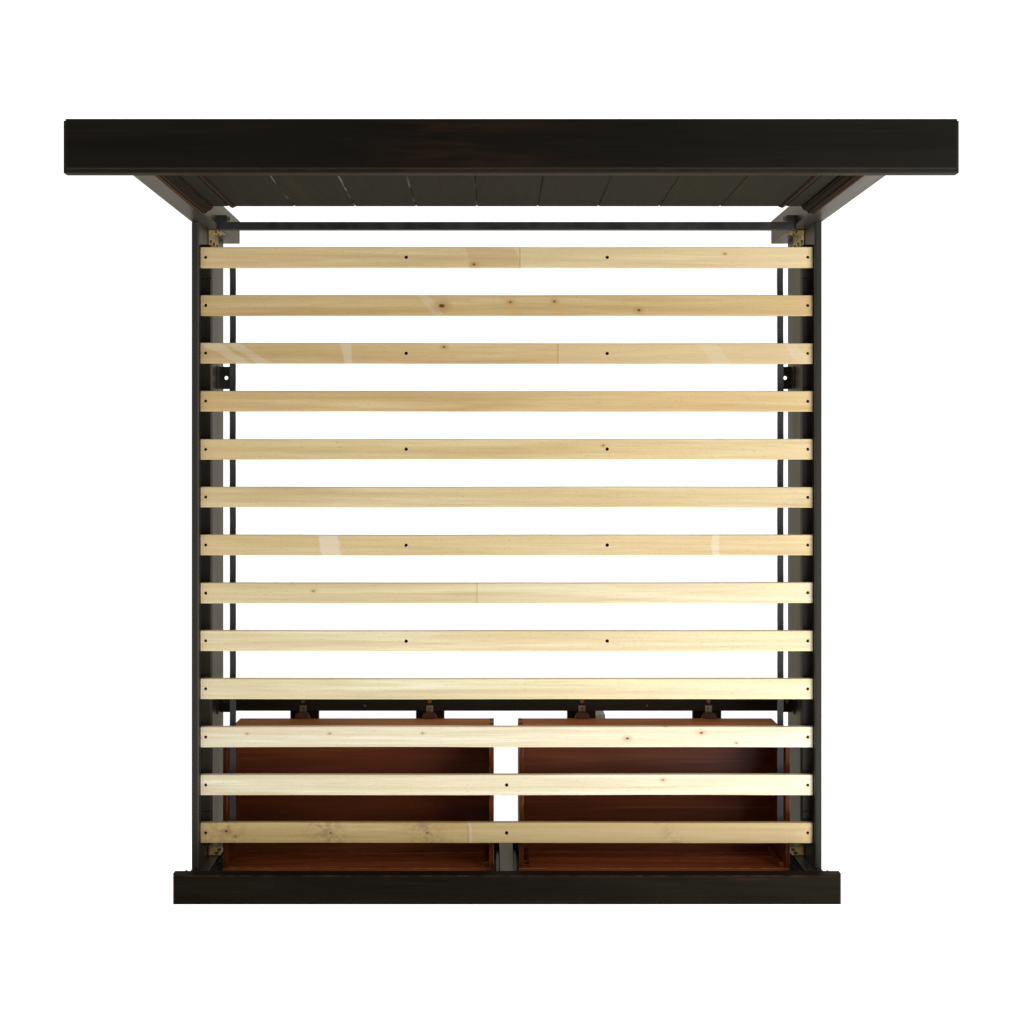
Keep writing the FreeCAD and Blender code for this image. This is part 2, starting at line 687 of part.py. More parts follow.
def runner_foot():
    """Ribbed plastic foot on the floor, fixed to the side of a runner board."""
    x0 = RUNNER_X[0] + RUNNER_WIDTH / 2
    foot = block(x0, x0 + FOOT_WIDTH, FOOT_BACK - FOOT_DEPTH, FOOT_BACK, 0.0, cross_board_low)
    pitch = FOOT_WIDTH / FOOT_RIB_COUNT
    for rib in range(FOOT_RIB_COUNT):
        x = x0 + (rib + 0.5) * pitch
        flute = block(x - 1.2, x + 1.2, FOOT_BACK - 2.0, FOOT_BACK + 1.0, -1.0, cross_board_low + 1.0)
        foot = foot.cut(flute)
    return foot


# ---- footboard ------------------------------------------------------------
def footboard_post():
    """Post with two grooves down its inner side, where the face board meets it."""
    post = block(foot_post_inner, rail_outer, foot_front_y, foot_y, 0, cap_bottom)
    post = rounded(post, POST_EDGE_RADIUS, is_vertical)
    half = POST_GROOVE_HALF
    for depth in POST_GROOVE_DEPTHS:
        y = foot_y - depth
        groove = block(foot_post_inner - 1.0, foot_post_inner + 2.0, y - half, y + half,
                       SUPPORT_TOP, FOOT_TOP_RAIL_BOTTOM)
        post = post.cut(groove)
    return post


def footboard_centre_stile():
    """Stile between the drawers, with side wings that the faces stop against."""
    half = CENTRE_STILE_WIDTH / 2
    stile = block(-half, half, foot_front_y, foot_y, SUPPORT_TOP, FOOT_TOP_RAIL_BOTTOM)
    stile = rounded(stile, POST_EDGE_RADIUS, is_vertical)
    half = CENTRE_STOP_WIDTH / 2
    front = box_front_y + 1.0
    back = front + CENTRE_STOP_THICK
    wings = block(-half, half, front, back, SUPPORT_TOP, FOOT_TOP_RAIL_BOTTOM)
    return stile.fuse(wings).removeSplitter()


def footboard_top_rail():
    half = foot_post_inner
    return block(-half, half, foot_front_y, foot_y, FOOT_TOP_RAIL_BOTTOM, cap_bottom)


def footboard_bottom_rail():
    half = foot_post_inner
    return block(-half, half, foot_front_y, foot_y, FOOT_BOTTOM_RAIL_BOTTOM, SUPPORT_TOP)


def footboard_cap():
    front = foot_front_y - CAP_OUTER_OVERHANG
    back = foot_y + CAP_INNER_OVERHANG
    return moulded_slab(CAP_HALF_WIDTH, front, back, cap_bottom, FOOTBOARD_HEIGHT,
                        CAP_BED_THICK, CAP_BEAD, CAP_BEAD, 0.0)


def footboard_cove():
    return cove_set(foot_front_y, foot_y + FOOT_COVE_RETURN, rail_outer, cap_bottom, FOOT_COVE_SIZE)


# ---- drawers (right-hand drawer; the left one is its mirror image) -----------
def tails(x0, x1, root_y, tip_y):
    """Dovetail tails of a side board's end, widening towards the tip."""
    pitch = (DRAWER_TOP - DRAWER_BOTTOM) / TAIL_COUNT
    narrow = 0.20 * pitch
    wide = 0.29 * pitch
    shapes = []
    for number in range(TAIL_COUNT):
        z = DRAWER_BOTTOM + (number + 0.5) * pitch
        points = [(x0, root_y, z - narrow), (x0, tip_y, z - wide)]
        points += [(x0, tip_y, z + wide), (x0, root_y, z + narrow)]
        shapes.append(prism(points, (x1 - x0, 0, 0)))
    return shapes


def corner_cut():
    """The wedge that is planed off the outer rear corner."""
    x = DRAWER_OUTER_X - DRAWER_CORNER_CUT
    y = DRAWER_BACK_Y - DRAWER_CORNER_CUT
    points = [(x, DRAWER_BACK_Y, DRAWER_BOTTOM), (DRAWER_OUTER_X, y, DRAWER_BOTTOM)]
    points.append((DRAWER_OUTER_X, DRAWER_BACK_Y, DRAWER_BOTTOM))
    return prism(points, (0, 0, DRAWER_TOP - DRAWER_BOTTOM))


def bottom_panel():
    x0 = DRAWER_INNER_X + DRAWER_WALL - DRAWER_GROOVE
    x1 = DRAWER_OUTER_X - DRAWER_WALL + DRAWER_GROOVE
    y0 = inside_front_y - DRAWER_GROOVE
    return block(x0, x1, y0, inside_back_y, panel_low, panel_high)


def side_spans():
    """Where the two side boards lie across the drawer."""
    inner = (DRAWER_INNER_X, DRAWER_INNER_X + DRAWER_WALL)
    outer = (DRAWER_OUTER_X - DRAWER_WALL, DRAWER_OUTER_X)
    return inner, outer


def drawer_sides():
    """Side boards with tails at both ends, grooved for the bottom panel."""
    sides = []
    for x0, x1 in side_spans():
        side = block(x0, x1, inside_front_y, inside_back_y, DRAWER_BOTTOM, DRAWER_TOP)
        side = side.fuse(tails(x0, x1, inside_front_y, box_front_y))
        side = side.fuse(tails(x0, x1, inside_back_y, DRAWER_BACK_Y))
        sides.append(side.removeSplitter().cut(bottom_panel()).cut(corner_cut()))
    return sides


def drawer_box_front():
    board = block(DRAWER_INNER_X, DRAWER_OUTER_X, box_front_y, inside_front_y, DRAWER_BOTTOM, DRAWER_TOP)
    for x0, x1 in side_spans():
        board = board.cut(tails(x0, x1, inside_front_y, box_front_y))
    return board.cut(bottom_panel())


def drawer_box_back():
    """Back board, which stands on the bottom panel."""
    board = block(DRAWER_INNER_X, DRAWER_OUTER_X, inside_back_y, DRAWER_BACK_Y, panel_high, DRAWER_TOP)
    for x0, x1 in side_spans():
        board = board.cut(tails(x0, x1, inside_back_y, DRAWER_BACK_Y))
    return board.cut(corner_cut())


def corner_blocks(side):
    """Glue block in the right-hand front corner; the right drawer also has
    a batten with two screw pockets in its left-hand front corner."""
    top = DRAWER_TOP - CORNER_BLOCK_DROP
    x1 = DRAWER_OUTER_X - DRAWER_WALL
    if side == "left":
        x1 = -DRAWER_INNER_X - DRAWER_WALL
    y1 = inside_front_y + CORNER_BLOCK
    pieces = [block(x1 - CORNER_BLOCK, x1, inside_front_y, y1, panel_high, top)]
    if side == "right":
        wide, thick = POCKET_BATTEN
        x0 = DRAWER_INNER_X + DRAWER_WALL
        y1 = inside_front_y + thick
        batten = block(x0, x0 + wide, inside_front_y, y1, panel_high, top)
        middle = x0 + wide / 2
        half = POCKET_SIZE / 2
        for z in POCKET_HEIGHTS:
            pocket = block(middle - half, middle + half, inside_front_y + 1.5, y1 + 1.0, z - half, z + half)
            batten = batten.cut(pocket)
        pieces.append(batten)
    return pieces


def drawer_face():
    """Inset front with a raised field, flush with the footboard's face."""
    z0 = SUPPORT_TOP + DRAWER_FACE_GAP
    z1 = FOOT_TOP_RAIL_BOTTOM - DRAWER_FACE_GAP
    face = block(face_x0, face_x1, foot_front_y, box_front_y, z0, z1)
    border = FACE_BORDER
    floor_y = foot_front_y + FACE_RECESS
    sunk = block(face_x0 + border, face_x1 - border, foot_front_y - 1, floor_y, z0 + border, z1 - border)
    border += FACE_SLOPE
    field = block(face_x0 + border, face_x1 - border, foot_front_y, floor_y + 1, z0 + border, z1 - border)
    face = face.cut(sunk).fuse(field).removeSplitter()

    def outer_edge(edge):
        box = edge.BoundBox
        on_front = box.YMax < foot_front_y + 0.1
        left_right = box.XMax < face_x0 + 0.1 or box.XMin > face_x1 - 0.1
        low_high = box.ZMax < z0 + 0.1 or box.ZMin > z1 - 0.1
        return on_front and (left_right or low_high)

    return face.makeChamfer(2.5, [edge for edge in face.Edges if outer_edge(edge)])


def knob(x, z):
    """Turned knob: foot, waist, flared head and a domed face."""
    rim_reach = KNOB_PROJECTION - KNOB_DOME
    waist = 0.38 * KNOB_RADIUS
    points = [V(0, 0, 0), V(0.6 * KNOB_RADIUS, 0, 0), V(0.6 * KNOB_RADIUS, -2.5, 0)]
    points += [V(waist, -5.0, 0), V(waist, -0.65 * rim_reach, 0)]
    points += [V(0.82 * KNOB_RADIUS, -0.8 * rim_reach, 0), V(KNOB_RADIUS, -rim_reach, 0)]
    outline = [Part.makeLine(a, b) for a, b in zip(points, points[1:])]
    ball = (KNOB_RADIUS ** 2 + KNOB_DOME ** 2) / (2 * KNOB_DOME)
    half_angle = asin(KNOB_RADIUS / ball) / 2
    centre = -KNOB_PROJECTION + ball
    middle = V(ball * sin(half_angle), centre - ball * cos(half_angle), 0)
    tip = V(0, -KNOB_PROJECTION, 0)
    outline.append(Part.Arc(points[-1], middle, tip).toShape())
    outline.append(Part.makeLine(tip, points[0]))
    solid = Part.Face(Part.Wire(outline)).revolve(V(0, 0, 0), V(0, 1, 0), 360)
    return solid.translated(V(x, foot_front_y, z))


def drawer_knobs():
    z = (SUPPORT_TOP + FOOT_TOP_RAIL_BOTTOM) / 2
    width = face_x1 - face_x0
    return [knob(face_x0 + share * width, z) for share in (KNOB_X_FRACTION, 1 - KNOB_X_FRACTION)]


def drawer_guides():
    """Plastic guides on the drawer's back: each straddles a monorail."""
    guides = []
    nose_y = DRAWER_BACK_Y + GUIDE_REACH
    top = panel_high + GUIDE_RISE
    slot_half = MONORAIL_WIDTH / 2 + GUIDE_CLEARANCE
    slot_low = DRAWER_BOTTOM - 1.0
    slot_top = SUPPORT_TOP + MONORAIL_HEIGHT + GUIDE_CLEARANCE
    for x in RUNNER_X:
        steps = []
        for inset, low, high in ((0.0, DRAWER_BOTTOM, top), (GUIDE_STEP, top, top + GUIDE_STEP)):
            wide = GUIDE_HALF_WIDTH - inset
            narrow = GUIDE_NOSE_HALF - inset
            far = nose_y - inset
            points = [(x - wide, DRAWER_BACK_Y, low), (x - narrow, far, low)]
            points += [(x + narrow, far, low), (x + wide, DRAWER_BACK_Y, low)]
            step = prism(points, (0, 0, high - low))
            nose = [edge for edge in step.Edges if is_vertical(edge) and edge.BoundBox.YMin > far - 0.1]
            steps.append(step.makeFillet(GUIDE_NOSE_RADIUS, nose))
        guide = steps[0].fuse(steps[1]).removeSplitter()
        slot = block(x - slot_half, x + slot_half, DRAWER_BACK_Y - 1, nose_y + 1, slot_low, slot_top)
        guides.append(guide.cut(slot))
    return guides


# ---- write every node -------------------------------------------------------
def save_pair(name, shape):
    """A piece on the right, and its mirrored twin on the left."""
    save(name + "_right", shape)
    save(name + "_left", mirrored(shape))


save_pair("headboard_post", headboard_post())
save("headboard_stiles", both_sides([headboard_stile()]))
save("headboard_planks", headboard_planks())
save("headboard_top_rail", headboard_top_rail())
save("headboard_back_battens", headboard_back_battens())
save("headboard_crown", headboard_crown())
save("headboard_crown_cove", headboard_crown_cove())
save("headboard_outer_moulding", headboard_outer_moulding())
save("headboard_panel_moulding", headboard_panel_moulding())
save("head_cross_bar", head_cross_bar())
save("cross_bar_brackets", both_sides([cross_bar_bracket()]))

save_pair("side_rail", side_rail())
save("slat_cleats", slat_cleats())
for slat_number in range(1, SLAT_COUNT + 1):
    save("slat_%02d" % slat_number, slat(slat_number))
save("slat_screws", slat_screws())
save("slat_straps", slat_straps())

save("corner_brackets", corner_brackets())
save("bracket_bolts", bracket_bolts())
save("rail_brackets", rail_brackets())
save("frame_screws", frame_screws())

save("drawer_cross_board", drawer_cross_board())
save("runner_boards", runner_boards())
save("monorails", monorails())
save("runner_foot", runner_foot())

save("footboard_posts", both_sides([footboard_post()]))
save("footboard_centre_stile", footboard_centre_stile())
save("footboard_top_rail", footboard_top_rail())
save("footboard_bottom_rail", footboard_bottom_rail())
save("footboard_cap", footboard_cap())
save("footboard_cove", footboard_cove())

for side, place in (("right", lambda shape: shape), ("left", mirrored)):
    name = "drawer_" + side + "_"
    save(name + "face", place(drawer_face()))
    save(name + "box_front", place(drawer_box_front()))
    save(name + "box_sides", [place(piece) for piece in drawer_sides()])
    save(name + "box_back", place(drawer_box_back()))
    save(name + "bottom", place(bottom_panel()))
    save(name + "guides", [place(piece) for piece in drawer_guides()])
    save(name + "knobs", [place(piece) for piece in drawer_knobs()])
    save(name + "corner_block", corner_blocks(side))
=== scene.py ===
import bmesh
import bpy
import json
from math import cos, pi, radians, sin
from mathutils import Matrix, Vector, noise

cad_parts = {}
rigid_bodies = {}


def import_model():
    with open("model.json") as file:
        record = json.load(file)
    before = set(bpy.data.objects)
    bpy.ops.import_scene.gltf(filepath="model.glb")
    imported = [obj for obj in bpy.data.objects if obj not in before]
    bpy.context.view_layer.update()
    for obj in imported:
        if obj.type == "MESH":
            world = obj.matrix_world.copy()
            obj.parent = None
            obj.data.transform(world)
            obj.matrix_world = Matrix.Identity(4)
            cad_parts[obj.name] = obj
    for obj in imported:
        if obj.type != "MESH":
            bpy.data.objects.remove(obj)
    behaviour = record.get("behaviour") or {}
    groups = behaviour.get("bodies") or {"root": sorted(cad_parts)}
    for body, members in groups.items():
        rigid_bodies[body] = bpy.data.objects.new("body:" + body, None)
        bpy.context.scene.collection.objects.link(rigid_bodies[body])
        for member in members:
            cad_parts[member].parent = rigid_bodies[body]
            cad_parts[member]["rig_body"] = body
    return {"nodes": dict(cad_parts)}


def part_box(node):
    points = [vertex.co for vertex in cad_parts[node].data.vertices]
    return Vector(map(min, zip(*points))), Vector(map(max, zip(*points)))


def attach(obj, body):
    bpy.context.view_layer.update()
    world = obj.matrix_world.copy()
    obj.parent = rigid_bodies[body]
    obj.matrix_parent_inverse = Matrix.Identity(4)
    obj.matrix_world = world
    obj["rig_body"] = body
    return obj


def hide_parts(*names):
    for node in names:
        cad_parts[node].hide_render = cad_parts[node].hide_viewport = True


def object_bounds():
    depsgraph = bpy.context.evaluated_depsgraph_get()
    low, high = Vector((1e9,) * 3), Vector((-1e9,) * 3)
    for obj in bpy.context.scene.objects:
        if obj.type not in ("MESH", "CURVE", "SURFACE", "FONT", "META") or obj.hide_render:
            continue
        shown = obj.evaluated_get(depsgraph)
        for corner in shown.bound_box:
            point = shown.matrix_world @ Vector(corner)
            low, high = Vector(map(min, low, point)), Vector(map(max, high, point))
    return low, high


# Looks of a king-size storage bed, seen from straight above.
# Metres, +Z up, +Y towards the headboard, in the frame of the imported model.

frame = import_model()
cad_low, cad_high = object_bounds()
nodes = frame["nodes"]
scene = bpy.context.scene


def slat_node(number):
    return "slat_%02d" % number


def middle_across(number):
    """A slat's middle, along the bed."""
    low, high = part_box(slat_node(number))
    return (low.y + high.y) / 2


SLAT_COUNT = 13
SLAT_PITCH = (middle_across(1) - middle_across(SLAT_COUNT)) / (SLAT_COUNT - 1)
MIDDLE_Y = middle_across(7)  # middle of the deck

# ---- camera and studio ------------------------------------------------------
CAMERA_PLACE = (-0.044, 0.2755, 4.39)
CAMERA_LENS = 43.9
CAMERA_SHIFT = (0.0186, -0.0508)
FLOOR_RADIUS = 14.0
FLOOR_SIDES = 64
WORLD_STRENGTH = 0.13


def add_camera():
    data = bpy.data.cameras.new("camera")
    data.lens = CAMERA_LENS
    data.sensor_width = 36.0
    data.shift_x, data.shift_y = CAMERA_SHIFT
    camera = bpy.data.objects.new("camera", data)
    camera.location = CAMERA_PLACE
    scene.collection.objects.link(camera)
    scene.camera = camera


def add_softbox(name, place, target, size, power):
    data = bpy.data.lights.new(name, "AREA")
    data.shape = "RECTANGLE"
    data.size, data.size_y = size
    data.energy = power
    light = bpy.data.objects.new(name, data)
    light.location = place
    toward = Vector(target) - Vector(place)
    light.rotation_mode = "QUATERNION"
    light.rotation_quaternion = toward.to_track_quat("-Z", "Y")
    light.visible_camera = False
    scene.collection.objects.link(light)


def add_world():
    world = bpy.data.worlds.new("studio")
    world.use_nodes = True
    background = world.node_tree.nodes["Background"]
    background.inputs["Color"].default_value = (1.0, 1.0, 1.0, 1.0)
    background.inputs["Strength"].default_value = WORLD_STRENGTH
    scene.world = world


def mesh_piece(name, build):
    """A new mesh object whose geometry a function adds to a bmesh."""
    work = bmesh.new()
    build(work)
    mesh = bpy.data.meshes.new(name)
    work.normal_update()
    work.to_mesh(mesh)
    work.free()
    piece = bpy.data.objects.new(name, mesh)
    scene.collection.objects.link(piece)
    return piece


def add_floor(material):
    def build(work):
        ring = []
        for step in range(FLOOR_SIDES):
            angle = 2 * pi * step / FLOOR_SIDES
            ring.append(work.verts.new((FLOOR_RADIUS * cos(angle), FLOOR_RADIUS * sin(angle), cad_low.z)))
        work.faces.new(ring)

    floor = mesh_piece("floor", build)
    floor.data.materials.append(material)


# ---- node graphs --------------------------------------------------------------
class Surface:
    """A principled material, with short calls for the nodes that feed it."""

    def __init__(self, name, **constants):
        self.material = bpy.data.materials.new(name)
        self.material.use_nodes = True
        self.tree = self.material.node_tree
        self.shader = self.tree.nodes["Principled BSDF"]
        for key, value in constants.items():
            self.shader.inputs[key.replace("_", " ")].default_value = value

    def put(self, socket, value):
        if isinstance(value, bpy.types.NodeSocket):
            self.tree.links.new(value, socket)
        elif socket.type == "RGBA" and len(value) == 3:
            socket.default_value = (*value, 1.0)
        else:
            socket.default_value = value

    def add(self, kind, inputs=(), output=0, **settings):
        node = self.tree.nodes.new("ShaderNode" + kind)
        for key, value in settings.items():
            setattr(node, key, value)
        for key, value in dict(inputs).items():
            self.put(node.inputs[key], value)
        return node.outputs[output]

    def math(self, operation, a, b=0.0):
        return self.add("Math", {0: a, 1: b}, operation=operation, use_clamp=False)

    def vector_math(self, operation, a, b):
        return self.add("VectorMath", {0: a, 1: b}, operation=operation)

    def noise(self, vector, scale, detail=3.0, distortion=0.0):
        inputs = {"Vector": vector, "Scale": scale, "Detail": detail, "Distortion": distortion}
        return self.add("TexNoise", inputs)

    def remap(self, value, low, high, to_low=0.0, to_high=1.0):
        inputs = {"Value": value, "From Min": low, "From Max": high}
        inputs.update({"To Min": to_low, "To Max": to_high})
        return self.add("MapRange", inputs)

    def mix(self, factor, a, b, blend="MIX"):
        return self.add("Mix", {0: factor, 6: a, 7: b}, output=2, data_type="RGBA", blend_type=blend)

    def scaled(self, vector, scale, offset=(0.0, 0.0, 0.0)):
        return self.add("Mapping", {"Vector": vector, "Scale": scale, "Location": offset})

    def coordinates(self):
        """Object coordinates, shifted by a different amount on each board."""
        place = self.add("TexCoord", output="Object")
        island = self.add("NewGeometry", output="Random Per Island")
        shift = self.vector_math("MULTIPLY", island, (31.0, 17.0, 23.0))
        return self.vector_math("ADD", place, shift), island

    def edge_mask(self, radius):
        """1 on edges, fading to 0 within the radius."""
        eased = self.add("Bevel", {"Radius": radius}, samples=4)
        flat = self.add("NewGeometry", output="Normal")
        likeness = self.add("VectorMath", {0: eased, 1: flat}, output="Value", operation="DOT_PRODUCT")
        return self.remap(likeness, 0.995, 0.90)

    def set_bump(self, height, strength, distance):
        inputs = {"Height": height, "Strength": strength, "Distance": distance}
        self.put(self.shader.inputs["Normal"], self.add("Bump", inputs))


def along(axis, lengthwise, across):
    """Mapping scale with one value along the grain and another across it."""
    scale = [across] * 3
    scale[axis] = lengthwise
    return tuple(scale)


# ---- materials ------------------------------------------------------------------
X, Y, Z = 0, 1, 2


def stained_wood(name, axis, tones, roughness=0.48, wear=0.6, specular=0.2, coat=0.0, streaks=0.64,
                 edge=0.0035, dusty=0.15):
    """Stained and lacquered hardwood, rubbed through along its edges."""
    dark, light, streak, worn = tones
    s = Surface(name, Coat_Weight=coat, Coat_Roughness=0.25, Specular_IOR_Level=specular)
    place, island = s.coordinates()
    broad = s.noise(s.scaled(place, along(axis, 1.1, 11.0)), 1.0, 4.0, 0.6)
    fibre = s.noise(s.scaled(place, along(axis, 5.0, 190.0)), 1.0, 3.0)
    pores = s.noise(s.scaled(place, along(axis, 22.0, 620.0)), 1.0, 2.0)
    figure = s.noise(s.scaled(place, along(axis, 0.9, 20.0), (3.0, 5.0, 7.0)), 1.0, 3.0, 1.2)
    colour = s.mix(s.remap(broad, 0.36, 0.66), dark, light)
    colour = s.mix(s.remap(figure, streaks, streaks + 0.14, 0.0, 0.8), colour, streak)
    shade = s.remap(s.math("ADD", fibre, s.math("MULTIPLY", island, 0.25)), 0.3, 0.95, 0.72, 1.3)
    colour = s.mix(1.0, colour, s.add("CombineXYZ", {0: shade, 1: shade, 2: shade}), "MULTIPLY")
    patchy = s.remap(s.noise(place, 26.0, 4.0), 0.42, 0.62, 0.1, 1.0)
    rubbed = s.math("MULTIPLY", s.math("MULTIPLY", s.edge_mask(edge), patchy), wear)
    s.put(s.shader.inputs["Base Color"], s.mix(rubbed, colour, worn))
    gloss = s.remap(broad, 0.3, 0.7, roughness - 0.05, roughness + 0.07)
    normal = s.add("NewGeometry", output="Normal")
    dulled = s.remap(s.add("SeparateXYZ", {0: normal}, output=2), 0.6, 0.95, 0.0, dusty)
    gloss = s.math("ADD", gloss, s.math("ADD", dulled, s.math("MULTIPLY", rubbed, 0.2)))
    s.put(s.shader.inputs["Roughness"], gloss)
    height = s.math("ADD", fibre, s.math("MULTIPLY", pores, 0.8))
    s.set_bump(height, 0.35, 0.0004)
    return s


# Each stain is (dark, light, streak, rubbed through).
# A darker copy of the espresso for the crown and the cap: painted shade on their tops.
ESPRESSO_SHADED_TOPS = ((0.0060, 0.0048, 0.0030), (0.0105, 0.0085, 0.0055),
                 (0.030, 0.011, 0.006), (0.080, 0.040, 0.020))
# A paler, greener copy of the espresso for the upright planks: a painted sheen.
PLANK_ESPRESSO_SHEEN = ((0.0105, 0.0102, 0.0068), (0.0170, 0.0168, 0.0115),
                  (0.028, 0.018, 0.010), (0.080, 0.045, 0.025))
ESPRESSO = ((0.0100, 0.0080, 0.0048), (0.0175, 0.0140, 0.0088),
            (0.040, 0.016, 0.008), (0.090, 0.045, 0.022))
MAHOGANY = ((0.080, 0.015, 0.0035), (0.130, 0.028, 0.006), (0.180, 0.052, 0.014), (0.50, 0.22, 0.08))
# Paler copies of the drawer wood, as painted light: the front's inner face, in the drawer's shade, and the
# back's outer face.
MAHOGANY_LIT_FRONT = ((0.20, 0.044, 0.012), (0.33, 0.088, 0.026), (0.40, 0.14, 0.045), (0.60, 0.28, 0.10))
MAHOGANY_LIT_BACK = ((0.33, 0.105, 0.028), (0.54, 0.20, 0.060), (0.58, 0.25, 0.085), (0.62, 0.32, 0.12))


def espresso(axis, name="espresso", tones=ESPRESSO, **changes):
    return stained_wood(name + "_" + "xyz"[axis], axis, tones, **changes).material


def mahogany(axis, name="mahogany", tones=MAHOGANY, **changes):
    settings = {"roughness": 0.42, "coat": 0.05, "specular": 0.16, "streaks": 0.56, "wear": 0.9}
    settings.update(changes)
    return stained_wood(name + "_" + "xyz"[axis], axis, tones, **settings).material


# Painted lines along the mouldings, in metres from the bed's middle:
# (place, half width, tint, strength). The near-black lines are painted shade in the quirks; the lines in the
# rubbed-through tone are painted highlights along the ridges.
# Painted shade: near black, in the moulding quirks.
QUIRK_SHADE = (0.0020, 0.0018, 0.0015)
# Painted highlight along the ridges, in the rubbed-through tone.
RIDGE_WEAR_AND_HIGHLIGHT = ESPRESSO[3]
MOULDING_SHADE_AND_HIGHLIGHT_LINES = ((0.8490, 0.0022, QUIRK_SHADE, 0.95), (0.8430, 0.0018, RIDGE_WEAR_AND_HIGHLIGHT, 0.45), (0.8365, 0.0014, QUIRK_SHADE, 0.8),
                  (0.9430, 0.0014, QUIRK_SHADE, 0.95), (0.9385, 0.0022, RIDGE_WEAR_AND_HIGHLIGHT, 0.8), (0.9325, 0.0024, QUIRK_SHADE, 0.95),
                  (0.9265, 0.0018, RIDGE_WEAR_AND_HIGHLIGHT, 0.35))


FIGURE_MIDDLE = -0.085


def crown_wood():
    """Espresso with reddish figure near the middle of the board."""
    # The crown takes the darker copy of the espresso: painted shade on its top.
    s = stained_wood("espresso_crown", X, ESPRESSO_SHADED_TOPS, wear=0.8, specular=0.14)
    colour = s.shader.inputs["Base Color"].links[0].from_socket
    place = s.add("TexCoord", output="Object")
    x = s.add("SeparateXYZ", {0: place})
    reach = s.math("ABSOLUTE", s.math("SUBTRACT", x, FIGURE_MIDDLE))
    middle = s.remap(reach, 0.34, 0.10)
    figure = s.noise(s.scaled(place, (3.4, 38.0, 38.0)), 1.0, 4.0, 1.2)
    strength = s.math("MULTIPLY", s.remap(figure, 0.42, 0.70, 0.0, 0.8), middle)
    s.put(s.shader.inputs["Base Color"], s.mix(strength, colour, (0.027, 0.0125, 0.0060)))
    return s.material


def moulding_wood():
    """Espresso moulding with painted shade in its quirks and painted highlights, in the rubbed-through tone,
    along its ridges.
    """
    s = stained_wood("espresso_moulding", Z, ESPRESSO, specular=0.04, roughness=0.62)
    colour = s.shader.inputs["Base Color"].links[0].from_socket
    across = s.math("ABSOLUTE", s.add("SeparateXYZ", {0: s.add("TexCoord", output="Object")}))
    # Each line paints shade or a highlight into the moulding's colour.
    for middle, half, tint, amount in MOULDING_SHADE_AND_HIGHLIGHT_LINES:
        offset = s.math("ABSOLUTE", s.math("SUBTRACT", across, middle))
        colour = s.mix(s.remap(offset, half + 0.0004, half - 0.0004, 0.0, amount), colour, tint)
    s.put(s.shader.inputs["Base Color"], colour)
    return s.material


PALE_GROOVE_FADE = (0.10, -0.45)    # the grooves turn paler between these places across the bed
PALE_GROOVE_END = -0.75


def plank_wood():
    """Espresso boards with pale grey in their grooves, towards the left."""
    # The planks take the paler copy of the espresso: a painted sheen.
    s = stained_wood("espresso_planks", Z, PLANK_ESPRESSO_SHEEN, wear=0.25, specular=0.06, roughness=0.58)
    colour = s.shader.inputs["Base Color"].links[0].from_socket
    place = s.add("TexCoord", output="Object")
    split = s.add("SeparateXYZ", {0: place})
    normal = s.add("NewGeometry", output="Normal")
    tilt = s.math("ABSOLUTE", s.add("SeparateXYZ", {0: normal}))
    groove = s.remap(tilt, 0.3, 0.5)
    broken = s.remap(s.noise(s.scaled(place, (40.0, 40.0, 9.0)), 1.0, 3.0), 0.50, 0.62)
    leftward = s.math("MULTIPLY", s.remap(split, *PALE_GROOVE_FADE), s.math("GREATER_THAN", split, PALE_GROOVE_END))
    # Pale grey on the groove faces, fading in towards the left and stopping short of the left end.
    pale_groove = s.math("MULTIPLY", s.math("MULTIPLY", groove, broken), leftward)
    s.put(s.shader.inputs["Base Color"], s.mix(s.math("MULTIPLY", pale_groove, 0.45), colour, (0.30, 0.29, 0.26)))
    return s.material


